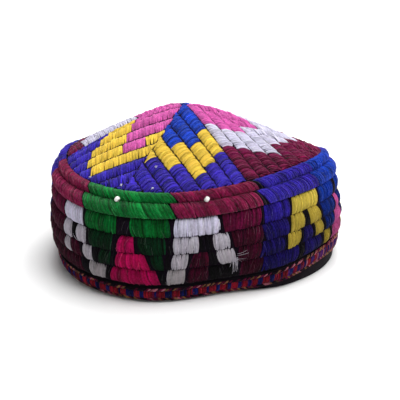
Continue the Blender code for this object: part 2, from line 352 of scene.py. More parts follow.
def yarn_piece(name, place, width, dyes, lift, slot, nodes, thickness=STRAND_THICKNESS, fuzz=FUZZ_SHARE):
    """Lays many stitches of yarn side by side as one piece, in the yarn of its slot.

    place(across) gives the middle lines, stitch by point by coordinate, moved sideways by that many metres.
    Over a share of the stitches one fibre has come loose: it follows a part of the stitch, drifts sideways
    evenly and stands off the yarn by a sine. Its dye is its stitch's made paler, a painted highlight. The dye and
    the place on the yarn are kept as attributes.
    """
    middle = place(0.0)
    side = unit(place(PROBE) - middle)
    outward = unit(np.cross(side, unit(np.gradient(middle, axis=1))))
    count, steps = middle.shape[:2]
    away = middle - np.array([*CENTRE_SHIFT, FOOT_HEIGHT / 2])
    outward *= np.sign(np.sum(outward * away, axis=(1, 2)))[:, None, None]
    raised = middle + outward * (lift[:, None] * fullness(steps))[..., None]

    pick = rng.choice(count, int(count * fuzz), replace=False)
    rows = pick[:, None]
    share = np.linspace(0, 1, steps)[None]
    way = (rng.random(rows.shape) * (1 - FIBRE_RUN) + share * FIBRE_RUN) * (steps - 1)
    low = np.minimum(way.astype(int), steps - 2)
    part = (way - low)[..., None]
    loose_side, loose_outward = side[rows, low], outward[rows, low]
    loose = raised[rows, low] * (1 - part) + raised[rows, low + 1] * part
    loose = loose + loose_side * (FIBRE_DRIFT * rng.standard_normal(rows.shape) * share)[..., None]
    stand = FIBRE_STAND[0] + FIBRE_STAND[1] * rng.random(rows.shape)
    off = thickness * 0.42 + stand * np.sin(np.pi * (0.15 + 0.7 * share))
    loose = loose + loose_outward * off[..., None]

    lines = np.concatenate([raised, loose])
    side, outward = np.concatenate([side, loose_side]), np.concatenate([outward, loose_outward])
    fine = np.full(len(pick), FIBRE_THICKNESS)
    points, quads, ends, wide = tubes(lines, side, outward, unit(np.gradient(lines, axis=1)),
                                      np.concatenate([width, fine]),
                                      np.concatenate([np.full(count, thickness), fine]))
    piece = new_piece(name, points, quads.tolist() + ends.tolist(), YARNS[slot], nodes)
    runs = np.cumsum(np.linalg.norm(np.diff(lines, axis=1, prepend=lines[:, :1]), axis=-1), axis=1)
    luck = np.broadcast_to(rng.random(len(lines))[:, None, None], wide.shape)
    spot = np.stack([wide, np.broadcast_to(runs[..., None], wide.shape), luck], axis=-1)
    keep = piece.data.attributes.new("yarn_place", "FLOAT_VECTOR", "POINT")
    keep.data.foreach_set("vector", spot.astype(np.float32).ravel())
    keep = piece.data.attributes.new("yarn_dye", "FLOAT_COLOR", "POINT")
    dye = np.ones((len(lines), steps * STRAND_SIDES, 4), np.float32)
    # Painted highlight: a loose fibre's dye is its stitch's, made paler.
    highlit_fibre_dyes = np.minimum(dyes[pick] * 1.7 + 0.05, DYE_RANGE[1])
    dye[..., :3] = np.concatenate([dyes, highlit_fibre_dyes])[:, None]
    keep.data.foreach_set("color", dye.ravel())


def linear(names, dark_dye_shade=1.0, light_dye_shade=1.0):
    """Linear colours of the named dyes. Each stitch is a little lighter or darker, and dark dyes vary most.

    The dark dyes, but magenta, are multiplied by the dark dye shade, and the light dyes by powers of the light
    dye shade, which take most from blue: both are painted shade.
    """
    shown = np.array([DYES[name] for name in names]) / 255
    colour = np.where(shown <= 0.04045, shown / 12.92, ((shown + 0.055) / 1.055) ** 2.4)
    dark = colour.sum(axis=1, keepdims=True) < DARK_DYE
    strength = 1 + np.where(dark, *STRENGTH_SPREAD) * rng.standard_normal((len(names), 1))
    tint = 1 + np.where(dark, *TINT_SPREAD) * rng.standard_normal((len(names), 3))
    # Painted shade: dark dyes other than magenta are darkened by one factor, light dyes by powers of another.
    shade_darkened = dark & np.array([name != "magenta" for name in names])[:, None]
    painted_shade_factor = np.where(shade_darkened, dark_dye_shade, np.where(dark, 1.0, light_dye_shade ** YELLOWING))
    return np.clip(colour * np.maximum(strength, FAINTEST) * tint * painted_shade_factor, *DYE_RANGE)


# Colour charts of the band and the roll: the angle in degrees at which each colour ends. The first line of the
# band's charts is its lowest row.

FRONT_ROWS = (
    "maroon -13 black -9.7 white -3.2 black -1.8 magenta 12.9 black 14.8 white 20.4 black 21 maroon 27.6 black 38 "
    "maroon 46.6",
    "maroon -21.8 white -18 maroon -12.6 black -11.8 white -7.6 black -5.5 moss -1 black .3 magenta 10.3 "
    "black 11.1 moss 14.8 black 16.6 white 21.6 black 22.2 maroon 28 black 30.6 white 37 black 37.6 maroon 46.1",
    "maroon -22.4 white -17.1 black -15.2 white -10.1 black -9.4 moss -.4 black .9 magenta 6.5 black 7.3 moss 15.6 "
    "black 17.3 white 25.2 black 29.4 white 35.2 black 35.9 maroon 47.2",
    "maroon -22.5 white -11.8 black -11.2 leaf .9 black 5 leaf 17.1 black 17.8 white 32.4 black 33 maroon 47 "
    "black 47.9",
)
RIGHT_ROWS = (
    "indigo 61.5 black 64.5 indigo 75 black 76.8 lemon 82 black 83.7 pink 99 black 100.6 lemon 105.5 black 107.3 "
    "indigo 117.5 black 120.5 indigo 136",
    "indigo 55.8 black 56.5 lemon 62.9 black 63.9 indigo 69.3 black 70.6 lemon 76.1 black 78 blue 85.6 black 86.3 "
    "pink 96.6 black 97.3 blue 103 lemon 108.5 indigo 115 black 116.5 lemon 123.5 indigo 136",
    "indigo 57.9 black 58.5 lemon 65.8 black 68.1 lemon 75.1 black 76.4 blue 88.2 black 88.8 pink 94.4 blue 105 "
    "lemon 112.6 black 116.4 lemon 122.6 indigo 136",
    "indigo 59.3 black 60 lemon 75 black 75.7 blue 89.5 black 93.5 blue 106.2 lemon 121.5 indigo 136",
)
PLAIN_ROWS = (  # half of a side that the photo doesn't show, from its middle outwards
    "peak 7.3 black 9.1 zigzag 15 ground 22 black 31 ground 44.5",
    "peak 5 block 11.4 zigzag 16.8 ground 24 black 25.6 zigzag 32.3 ground 44.5",
    "peak 2.8 block 13.8 zigzag 21.5 black 25.3 zigzag 31.5 ground 44.5",
    "black 2 block 14.7 zigzag 29.7 ground 44.5",
)
BACK_DYES = {"peak": "magenta", "block": "green", "zigzag": "white", "ground": "maroon"}
LEFT_DYES = {"peak": "pink", "block": "blue", "zigzag": "lemon", "ground": "indigo"}
ROLL_STOPS = ("leaf 17.8 wine 47 black 48.4 indigo 76 blue 106.5 indigo 137 wine 166 leaf 197 wine 227 indigo 257 "
              "blue 287 indigo 318 wine 347.4")
SIDE_MIDDLES = (3.5, 91.0, 181.5, 272.0)  # of the front, right, back and left
ZIGZAG_REACH = 23.5  # degrees from a side's middle to the top of its zigzag


def stops(text):
    """Pairs (colour, end) from one line of a chart."""
    words = text.split()
    return list(zip(words[::2], (float(word) for word in words[1::2])))


def mirrored(text, middle, dyes):
    """A half side's line, turned over about the side's middle, as pairs (colour, end) in degrees."""
    half = [(dyes.get(colour, colour), end) for colour, end in stops(text)]
    starts = [0.0] + [end for _, end in half[:-1]]
    left = [(colour, middle - start) for (colour, _), start in zip(half, starts)][::-1]
    return left[:-1] + [(colour, middle + end) for colour, end in half]


def blocks_of(pairs):
    """Colour blocks (colour, start, end) round the cap from pairs (colour, end), with like neighbours joined."""
    blocks = []
    start = pairs[-1][1] - 360
    for colour, end in pairs:
        if blocks and blocks[-1][0] == colour:
            blocks[-1] = (colour, blocks[-1][1], end)
        else:
            blocks.append((colour, start, end))
        start = end
    return blocks


def row_blocks(row):
    """All colour blocks round one row of the band."""
    plain = PLAIN_ROWS[row]
    return blocks_of(stops(FRONT_ROWS[row]) + stops(RIGHT_ROWS[row])
                     + mirrored(plain, SIDE_MIDDLES[2], BACK_DYES) + mirrored(plain, SIDE_MIDDLES[3], LEFT_DYES))


def stitches_in(blocks, pitch):
    """Places stitches evenly inside each block.

    Returns their angles, their colours, and for each its distance to the block's nearer end, its distance from
    the block's middle, the pitch, and the block's own slant.
    """
    angles, colours, measures = [], [], []
    for colour, start, end in blocks:
        per_degree = FOOT_RADIUS * math.pi / 180 * outline(math.radians((start + end) / 2))
        length = (end - start) * per_degree - BLOCK_GAP
        count = max(round(length / pitch), 1)
        along = (np.arange(count) + 0.5) * length / count + BLOCK_GAP / 2
        slant = SLANT_SPREAD * rng.standard_normal()
        angles.append(np.radians(start + along / per_degree))
        colours += [colour] * count
        measures.append([np.minimum(along, length + BLOCK_GAP - along), along - (length + BLOCK_GAP) / 2,
                         np.full(count, length / count), np.full(count, slant)])
    return np.concatenate(angles), colours, *np.concatenate(measures, axis=1)


def lumps(along, seed):
    """Small swells along a padded rib: three sines of the way along it, their phases set by the seed."""
    swell = np.sin(along * 1650 + seed * 2.1) + np.sin(along * 1090 + seed * 5.3) + np.sin(along * 610 + seed)
    return LUMP_HEIGHT * swell


def sag(edges):
    """Share of its pad that a stitch keeps: less near a block's end, by a fall that dies out with distance."""
    return 1 - END_SAG * np.exp(-edges / SAG_REACH)


# Finishes

class Wire:
    """One output of a material's node. Python's operators on it add Math nodes to the same material."""

    def __init__(self, finish, socket):
        self.finish = finish
        self.socket = socket

    def math(self, operation, *values):
        return self.finish.node("ShaderNodeMath", {"operation": operation}, dict(enumerate(values)))

    def __add__(self, other):
        return self.math("ADD", self, other)

    def __sub__(self, other):
        return self.math("SUBTRACT", self, other)

    def __rsub__(self, other):
        return self.math("SUBTRACT", other, self)

    def __mul__(self, other):
        return self.math("MULTIPLY", self, other)

    __radd__ = __add__
    __rmul__ = __mul__

    def sine(self):
        return self.math("SINE", self)


class Finish:
    """A material whose nodes are added one by one."""

    SHEEN_ROUGHNESS = 0.4
    COTTON_SPECULAR = 0.06
    GLASS_SPECULAR = 0.5

    def __init__(self, name, roughness, sheen=0.0, coat=0.0):
        self.material = bpy.data.materials.new(name)
        self.material.use_nodes = True
        self.tree = self.material.node_tree
        self.shader = self.tree.nodes["Principled BSDF"]
        self.set(Roughness=roughness, Sheen_Weight=sheen, Sheen_Roughness=self.SHEEN_ROUGHNESS, Coat_Weight=coat,
                 Specular_IOR_Level=self.GLASS_SPECULAR if coat else self.COTTON_SPECULAR)

    def node(self, kind, settings, inputs, output=0):
        """Adds a node, sets its settings first and then its sockets' values or links, and gives one output."""
        node = self.tree.nodes.new(kind)
        for key, value in settings.items():
            setattr(node, key, value)
        for key, value in inputs.items():
            self.put(node.inputs[key], value)
        return Wire(self, node.outputs[output])

    def put(self, socket, value):
        """Links a wire to a socket, or sets the socket's own value."""
        if isinstance(value, Wire):
            self.tree.links.new(value.socket, socket)
        else:
            socket.default_value = value

    def set(self, **sockets):
        """Feeds the shader's sockets, named with underscores for spaces."""
        for key, value in sockets.items():
            self.put(self.shader.inputs[key.replace("_", " ")], value)
        return self.material

    def spot(self):
        """The place on the object."""
        return self.node("ShaderNodeTexCoord", {}, {}, "Object")

    def attribute(self, name, output):
        """A value that the mesh keeps at each point."""
        return self.node("ShaderNodeAttribute", {"attribute_name": name}, {}, output)

    def split(self, vector):
        """The three numbers of a vector."""
        parts = self.node("ShaderNodeSeparateXYZ", {}, {0: vector}).socket.node
        return [Wire(self, socket) for socket in parts.outputs]

    def noise(self, place, scale, detail):
        """Cloudy values about one half, finer with the scale."""
        return self.node("ShaderNodeTexNoise", {}, {"Vector": place, "Scale": scale, "Detail": detail})

    def ranged(self, value, low, high, start, end):
        """The value's range from low to high, stretched to run from start to end and held there outside it."""
        return self.node("ShaderNodeMapRange", {}, {0: value, 1: low, 2: high, 3: start, 4: end})

    def blend(self, share, colour, other):
        """Two colours mixed by a share."""
        return self.node("ShaderNodeMix", {"data_type": "RGBA"}, {0: share, 6: colour, 7: other}, 2)

    def bumped(self, height, strength, distance):
        """Normal of a surface whose relief is the height times the distance."""
        return self.node("ShaderNodeBump", {}, {"Height": height, "Strength": strength, "Distance": distance})


def yarn_finish(name, roughness, sheen):
    """Loosely twisted yarn: fine slanted fibres along each stitch, uneven dye, and a soft sheen.

    The fibres are sines of the place on the yarn, in radians per metre. Three noises mottle the dye, a dark
    one more than a light one, and painted shade darkens it towards the rim.
    """
    finish = Finish(name, roughness, sheen)
    across, run, luck = finish.split(finish.attribute("yarn_place", "Vector"))
    dye = finish.attribute("yarn_dye", "Color")
    fibres = (across * 15000.0 + run * 2400.0 + luck * 40.0).sine() * 0.5 + 0.5
    fine = (across * 41000.0 - run * 1500.0 + luck * 90.0).sine() * 0.5 + 0.5
    spot = finish.spot()
    uneven = finish.noise(spot, 160.0, 3.0)
    worn = finish.noise(spot, 38.0, 2.0)
    fleck = finish.noise(spot, 850.0, 1.0)
    mottled = finish.ranged(uneven + worn * 0.4 + fleck * 0.9 + fibres * 0.2, 0.85, 1.6, -0.65, 0.7)
    strength = finish.ranged(finish.node("ShaderNodeRGBToBW", {}, {0: dye}), 0.02, 0.35, 1.0, 0.3)
    height = finish.split(spot)[2]
    # Painted shade: the dye darkens from full strength 52 mm above the floor to 0.62 at 8 mm, with a ragged edge.
    rim_shade = finish.ranged(height + uneven * 0.012, 0.008, 0.052, 0.62, 1.0)
    shade = (mottled * strength + 1.0) * rim_shade
    shaded = finish.node("ShaderNodeVectorMath", {"operation": "SCALE"}, {0: dye, 3: shade})
    rough = finish.ranged(uneven, 0.3, 0.7, roughness - 0.08, roughness + 0.1)
    relief = finish.bumped(fibres * 0.7 + fine * 0.3, 0.6, 0.00012)
    return finish.set(Base_Color=shaded, Roughness=rough, Normal=relief)


def cloth_finish(name, colour, thread):
    """Plain-woven cotton: warp and weft as two sines across each other, and a little uneven dye."""
    finish = Finish(name, 0.9, 0.02)
    spot = finish.spot()
    x, y, z = finish.split(spot)
    per_metre = 2 * math.pi / thread
    warp = ((x + y) * per_metre).sine()
    weft = ((z + y * 0.4 - x * 0.4) * per_metre).sine()
    uneven = finish.noise(spot, 220.0, 4.0)
    light = tuple(channel * 2.2 for channel in colour)
    base = finish.blend(uneven, (*colour, 1), (*light, 1))
    relief = finish.bumped(warp * weft * 0.5 + 0.5 + uneven * 0.4, 0.5, 0.0002)
    return finish.set(Base_Color=base, Normal=relief)


def bead_finish():
    """Milky white glass with a clear gloss."""
    finish = Finish("white_bead_glass", 0.18, 0.0, 0.6)
    cloud = finish.noise(finish.spot(), 900.0, 2.0)
    return finish.set(Base_Color=finish.blend(cloud, (0.86, 0.84, 0.8, 1), (0.95, 0.94, 0.92, 1)))


YARNS = {
    "crown_yarn": yarn_finish("crown_yarn_dyed", 0.62, 0.08),
    "roll_yarn": yarn_finish("roll_yarn_dyed", 0.66, 0.14),
    "band_yarn": yarn_finish("band_yarn_dyed", 0.64, 0.01),
    "braid_yarn": yarn_finish("braid_yarn_dyed", 0.7, 0.01),
}
ground_cloth = cloth_finish("ground_cloth_black", (0.0030, 0.0012, 0.0036), 0.0006)
binding_cloth = cloth_finish("binding_cloth_black", (0.0055, 0.0040, 0.0060), 0.0008)
white_glass = bead_finish()


# The padded body under the stitches

def band_padding():
    """The wall's padding and cloths under the four rows: low arches outside and shallower ones inside."""
    knots = row_knots()
    inside = arches(knots, INNER_PAD, 7) - np.array([WALL_CLOTH, 0])
    section = np.concatenate([arches(knots, ROW_PAD * ROW_FILL, 7), inside[::-1]])
    piece = ring_piece("band_padding", section, ground_cloth, ["band"])


def roll_padding():
    """The roll's padding: two full ribs outside and a slanted cloth inside."""
    inside = np.array([[EDGE_RADIUS - 0.0008, EDGE_HEIGHT - CROWN_CLOTH], [FOOT_RADIUS - WALL_CLOTH, FOOT_HEIGHT]])
    section = np.concatenate([arches(roll_knots(), ROLL_PAD * ROLL_FILL, 9), inside])
    piece = ring_piece("roll_padding", section, ground_cloth, ["top_roll"])


def crown_padding():
    """The crown's padding and cloths: an outer and an inner dome, joined along the panels' edge.

    Both domes are grids of angle and reach, closed at the peak by one point each.
    """
    angle = turns(RING_STEPS)[None]
    reach = np.linspace(0, 1, CROWN_RINGS + 1)[1:, None] * EDGE_RADIUS
    x, y = reach * np.sin(angle), reach * np.cos(angle)
    outer = crown_point(x, y, 0, GROUND_LIFT)
    inner = crown_point(x, y, 0, -CROWN_CLOTH)[::-1]
    tips = crown_point(np.zeros(2), np.zeros(2), 0, np.array([GROUND_LIFT, -CROWN_CLOTH]))
    points = np.concatenate([outer.reshape(-1, 3), inner.reshape(-1, 3), tips])
    faces = grid_faces(2 * CROWN_RINGS, RING_STEPS, wrap_columns=True)[:, ::-1].tolist()
    around = np.arange(RING_STEPS)
    after = np.roll(around, -1)
    top = 2 * CROWN_RINGS * RING_STEPS
    low = top - RING_STEPS
    faces += np.stack([around, after, np.full(RING_STEPS, top)], axis=-1).tolist()
    faces += np.stack([low + after, low + around, np.full(RING_STEPS, top + 1)], axis=-1).tolist()
    gores = [f"crown_gore_{panel}" for panel, _, _ in CROWN_PANELS]
    piece = new_piece("crown_padding", points, faces, ground_cloth, gores)


# The stitching of the wall

def flare(angles, amount):
    """Slant that widens the blocks towards the rim: minus the amount times a sine of the way from the side's
    middle, which turns once from there to the top of the zigzag."""
    away = (np.degrees(angles)[:, None] - np.array(SIDE_MIDDLES) + 180) % 360 - 180
    nearest = away[np.arange(len(angles)), np.abs(away).argmin(axis=1)]
    return -amount * np.sin(2 * np.pi * nearest / ZIGZAG_REACH)


def wall_rib(name, knots, height, pitch, blocks, slants, shades, slot, node):
    """Stitches over one rib of the wall or the roll, from groove to groove.

    The height is a pad and a dip, the slants an even one and a flare, the shades the painted shade of its dark
    and of its light dyes. Along a stitch the angle moves by the slant, times the share of the way less one half.
    Stitches at the ends of a colour block lie a little lower, as the last turns of a wound pad do, and their two
    ends are drawn in towards the block's middle by a parabola in the share.
    """
    start, end = knots
    pad, dip = height
    slant, spread = slants
    angles, colours, edges, offsets, pitches, block_slants = stitches_in(blocks, pitch)
    count = len(angles)
    share = eased()
    lean = slant + block_slants + 0.00028 * rng.standard_normal(count)
    lean = lean + 0.0004 * np.sin(angles * 37 + start[1] * 900) + flare(angles, spread)
    drawn = -END_DRAW * np.sign(offsets) * np.exp(-edges / DRAW_REACH)
    stitch_pad = pad * sag(edges) * (1 + PAD_SPREAD * rng.standard_normal(count))
    ends = 1 + 0.018 * rng.standard_normal((count, 1))
    way = 0.5 + (share - 0.5) * ends
    profile = start + (end - start) * way[..., None]
    profile = profile + outward_of(start, end) * arch(share, dip, stitch_pad[:, None])[..., None]
    radius = FOOT_RADIUS * outline(angles)
    sideways = lean[:, None] * (share - 0.5) + drawn[:, None] * (2 * share - 1) ** 2
    wander = angles[:, None] + sideways / radius[:, None]

    def place(across):
        return wall_point(wander + across / radius[:, None], profile[..., 0], profile[..., 1])

    lift = SETTLING * rng.standard_normal(count) + lumps(angles * FOOT_RADIUS, start[1] * 1000)
    width = pitches * (WALL_OVERLAP + WIDTH_SPREAD * rng.standard_normal(count))
    yarn_piece(name, place, width, linear(colours, *shades), lift, slot, [node])


def band_rows():
    """The four rows of the band, counted from the rim. The lower ones flare more and get more painted shade."""
    knots = row_knots()
    # Per row: flare, painted shade on dark dyes, painted shade on light dyes.
    looks = ((0.0020, 0.27, 0.64), (0.0020, 0.29, 0.74), (0.0018, 0.32, 0.8), (0.0004, 0.66, 1.0))
    for row, (spread, dark_dye_shade, light_dye_shade) in enumerate(looks):
        wall_rib(f"band_row_{row + 1}", knots[row:row + 2], (ROW_PAD, GROOVE_DIP), STRAND_PITCH, row_blocks(row),
                 (0.0, spread), (dark_dye_shade, light_dye_shade), "band_yarn", "band")


def roll_ribs():
    """The two ribs of the roll, whip-stitched on a slant."""
    knots = roll_knots()
    for row, name in enumerate(("roll_rib_lower", "roll_rib_upper")):
        wall_rib(name, knots[row:row + 2], (ROLL_PAD, ROLL_DIP), ROLL_PITCH, blocks_of(stops(ROLL_STOPS)),
                 (-0.0050, 0.0), (1.0, 1.0), "roll_yarn", "top_roll")


def loose_threads():
    """White thread that has frayed out of the band's lower rows near the front right corner.

    Most ends hang down and swing sideways by the share of the way squared. The last few lie nearly level. Each
    stands off the band a little more towards its tip.
    """
    count, hanging = 22, 17
    share = np.linspace(0, 1, STRAND_STEPS)[None]
    luck = rng.random((count, 5))[..., None]
    down = np.arange(count)[:, None] < hanging
    height = np.where(down, 0.0228 - (0.0040 + 0.0055 * luck[:, 0]) * share,
                      0.0210 + 0.0040 * luck[:, 0] + 0.0035 * (luck[:, 1] - 0.5) * share ** 2)
    start = np.where(down, 35.2 + 2.3 * luck[:, 2], 37.2)
    swing = np.where(down, 1.6 * (luck[:, 3] - 0.45) * share ** 2, (1.2 + 2.6 * luck[:, 3]) * share)
    knots = row_knots()
    radius = np.interp(height, knots[:, 1], knots[:, 0]) + ROW_PAD + 0.0004 + 0.0013 * luck[:, 4] * share
    angle = np.radians(start + swing)

    def place(across):
        return wall_point(angle + across / radius, radius, height)

    width = np.where(down[:, 0], 0.00024, 0.00010)
    # Painted shade: the white is darkened as the band's lower rows are.
    yarn_piece("loose_threads", place, width, linear(["white"] * count, 1, 0.8), np.zeros(count),
               "band_yarn", ["band"], FIBRE_THICKNESS, 0)


# The stitching of the crown

# Colour charts of the crown's half panels. For each rib from the seam on, parted by strokes, they give where each
# colour ends, in millimetres from the peak along the seam. The panel's own colour fills the rest. The number
# before a chart is the width of its first rib, as a share of a whole one.
PLAIN_HALF = "pink 30 white 53.5 / pink 36 white 57.5 / pink 37 white 62 / white 63 / white 50"
BACK_HALF = "{0} 35 yellow 58 / {0} 44 yellow 64 / {0} 38.5 yellow 69.5 / yellow 62"
CROWN_CHARTS = {
    ("front", 1): (1.0, "blue 35 yellow 58 / blue 44 yellow 64 / blue 38.5 yellow 69.5 / yellow 55.5 / yellow 43"),
    ("front", -1): (0.5, "pink 37 yellow 56 / pink 40 yellow 62 / pink 45 yellow 68.5 / "
                         "yellow 35 pink 49.5 yellow 72 / yellow 71"),
    ("right", 1): (1.0, "pink 31 white 54 / pink 37 white 58 / pink 38 white 63 / white 62 / white 50"),
    ("right", -1): (1.0, PLAIN_HALF),
    ("back", 1): (1.0, BACK_HALF.format("blue")),
    ("back", -1): (1.0, BACK_HALF.format("pink")),
    ("left", 1): (1.0, "pink 35 white 73 / pink 38 white 74 / pink 38 white 70 / white 62 / white 50"),
    ("left", -1): (1.0, PLAIN_HALF),
}
CROWN_PANELS = (("front", 0, "indigo"), ("right", 90, "maroon"), ("back", 180, "indigo"), ("left", 270, "maroon"))

# Where knots of pale thread show on the front panel: to the side and outwards of the peak
KNOTS = ((0.0097, 0.0654), (0.0152, 0.0826), (-0.0218, 0.0812), (-0.0012, 0.0836))
KNOT_LENGTH = 0.0015
KNOT_THICKNESS = 0.0005


def half_panel(panel, side, ground):
    """The stitches of a half panel: their colours, and for each its ends across the rib from the seam, its place
    along the seam, its side, its distance to the colour's nearer end, and its spacing.

    A rib is bounded by the next rib, by the panel's middle, where the two halves meet in a mitre, and by the
    panel's edge.
    """
    first_share, chart = CROWN_CHARTS[panel, side]
    lines = chart.split("/")
    colours, measures = [], []
    for rib in range(math.ceil(RIBS_PER_HALF + 1 - first_share)):
        near = max(rib - 1 + first_share, 0) * RIB_WIDTH
        far = min((rib + first_share) * RIB_WIDTH, SEAM_REACH)
        lower = near + (SHORTEST_STITCH if rib else FIRST_STITCH)
        last = math.sqrt(EDGE_RADIUS ** 2 - near ** 2)
        for colour, end in (stops(lines[rib]) if rib < len(lines) else []) + [(ground, last * 1000)]:
            upper = min(end / 1000, last)
            if upper - lower < STRAND_PITCH:
                continue
            count = max(round((upper - lower - CROWN_GAP) / STRAND_PITCH), 1)
            spacing = (upper - lower - CROWN_GAP) / count
            along = lower + CROWN_GAP / 2 + (np.arange(count) + 0.5) * spacing
            limit = np.minimum(np.minimum(far, along), np.sqrt(np.maximum(EDGE_RADIUS ** 2 - along ** 2, 0)))
            edge = np.minimum(along - lower, upper - along)
            whole = np.ones(count)
            measure = np.stack([near * whole, limit, along, side * whole, edge, spacing * whole])
            kept = limit - near > SHORTEST_STITCH
            measures.append(measure[:, kept])
            colours += [colour] * int(kept.sum())
            lower = upper
    return colours, np.concatenate(measures, axis=1)


def crown_stitching(panel, middle, ground):
    """All stitches of one panel. Each lies across its rib, a little aslant, between the rib's two long sides.

    A stitch's height over the cloth is the rib's arch, lowered where the rib is narrow and at colours' ends.
    """
    halves = [half_panel(panel, side, ground) for side in (1, -1)]
    colours = halves[0][0] + halves[1][0]
    start, stop, along_at, sides, edges, spacing = np.concatenate([half[1] for half in halves], axis=1)
    count = len(start)
    share = eased()
    away = start[:, None] + (stop - start)[:, None] * share
    lean = 0.00025 * rng.standard_normal(count)[:, None] * (share - 0.5) * 2
    narrow = np.clip((stop - start) / RIB_WIDTH, 0.35, 1)
    pad = CROWN_PAD * sag(edges) * narrow * (1 + PAD_SPREAD * rng.standard_normal(count))
    above = arch(share, CROWN_DIP, pad[:, None])
    half = math.sqrt(0.5)

    def place(across):
        along = along_at[:, None] + lean + across + CROWN_SLANT * (away - start[:, None] - RIB_WIDTH / 2)
        return crown_point(sides[:, None] * (along - away) * half, (along + away) * half, middle, above)

    lift = SETTLING * rng.standard_normal(count) + 1.4 * lumps(along_at, start * 700 + sides * 3.0)
    width = spacing * (CROWN_OVERLAP + WIDTH_SPREAD * rng.standard_normal(count))
    yarn_piece(f"crown_stitching_{panel}", place, width, linear(colours), lift, "crown_yarn",
               [f"crown_gore_{panel}"])


def peak_stitching():
    """Blue stitches side by side over the peak, where the four panels meet."""
    count = 9
    share = eased()
    reach = 0.0043 - 0.0022 * np.linspace(-1, 1, count) ** 2
    x = reach[:, None] * (2 * share - 1)
    y = np.linspace(-0.0030, 0.0036, count)[:, None]
    above = arch(share, GROOVE_DIP, CROWN_PAD * 0.7)

    def place(across):
        return crown_point(x, y + across, 0, above)

    lift = 0.00006 * rng.standard_normal(count)
    yarn_piece("peak_stitching", place, np.full(count, 0.0011), linear(["blue"] * count), lift,
               "crown_yarn", ["crown_gore_front"])


def thread_knots():
    """Tiny knots of pale thread on the front panel: three short crossed stitches each."""
    middles = np.repeat(np.array(KNOTS), 3, axis=0)
    count = len(middles)
    turn = rng.random(count)[:, None] * np.pi
    along = np.linspace(-0.5, 0.5, STRAND_STEPS)[None] * KNOT_LENGTH
    layer = (np.arange(count) % 3)[:, None]
    above = CROWN_PAD + 0.0007 + 0.0003 * np.cos(along / KNOT_LENGTH * np.pi) + 0.00015 * layer
    x, y = middles[:, :1] + along * np.cos(turn), middles[:, 1:] + along * np.sin(turn)

    def place(across):
        return crown_point(x - across * np.sin(turn), y + across * np.cos(turn), 0, above)

    yarn_piece("thread_knots", place, np.full(count, KNOT_THICKNESS), linear(["white"] * count),
               np.zeros(count), "crown_yarn", ["crown_gore_front"], KNOT_THICKNESS, 0)


# The rim

RIM_GAP = 0.0003  # between the binding and what lies over it
TAPE_THICKNESS = 0.0008
BRAID_SPREAD = 0.32  # share by which the braid is pulled wider where the rim lifts
BRAID_DROP = 0.0015
BRAID_MIDDLE = 95  # the angle where the braid is pulled widest
BRAID_PULL = 50
BRAID_OVERLAP = 1.15
BRAID_PITCH = 0.00100  # from one float of yarn to the next, in the middle course
EDGE_PITCH = 0.0013
COURSE_THICKNESS = 0.0007
CHECK_LENGTH = 0.0064  # a red and a blue block of the middle course
RED_LENGTH = 0.0036
HIGHLIGHT_AND_PURPLE_REACH = 55  # how far to both sides of the braid's middle purple yarn and paler rose and gold yarn show; the paler yarn is painted highlight


def rim_binding():
    """Black cloth edge: a closed section, rounded by half a turn where the cap rests on it."""
    top = ROW_FOOT_HEIGHT - RIM_GAP
    turn = np.radians(np.linspace(0, -180, 7))
    low = BINDING_THICKNESS / 2
    base = wall_radius(0) - WALL_CLOTH + low
    rounding = np.stack([base + low * np.cos(turn), low + low * np.sin(turn)], axis=-1)
    head = wall_radius(top) - WALL_CLOTH
    section = np.concatenate([[[head + BINDING_THICKNESS, top]], rounding, [[head, top]]])[::-1]
    lifted = np.concatenate([[1.0], np.zeros(len(turn)), [1.0]])
    ring_piece("rim_binding_cloth", section, binding_cloth, ["rim_binding"], lifted)


def braid_course(name, low, high, out, pitch, slant, colours):
    """One course of the woven braid: short slanted floats of yarn side by side round the rim.

    A float stands out by a rounded sine of the way along it.
    """
    count = len(colours)
    angles = turns(count) + 0.0015 * rng.standard_normal(count)
    share = np.linspace(0, 1, STRAND_STEPS)[None]
    height = low + (high - low) * share + np.zeros((count, 1))
    height = height + hump(angles, BRAID_MIDDLE, BRAID_PULL)[:, None] * (BRAID_SPREAD * height - BRAID_DROP)
    base = wall_radius(height) - WALL_CLOTH + BINDING_THICKNESS + RIM_GAP
    radius = base + out * (0.35 + 0.65 * np.sin(np.pi * share) ** 0.6)
    scale = RIM_RADIUS * outline(angles)
    wander = angles[:, None] + slant * (share - 0.5) / scale[:, None]

    def place(across):
        return wall_point(wander + across / scale[:, None], radius, height)

    width = np.full(count, pitch) * outline(angles) * (BRAID_OVERLAP + 0.08 * rng.standard_normal(count))
    lift = 0.00008 * rng.standard_normal(count)
    # Painted shade: the braid's dark dyes are darkened to 0.8 of their strength.
    yarn_piece(name, place, width, linear(colours, 0.8), lift, "braid_yarn", ["rim_braid"], COURSE_THICKNESS)


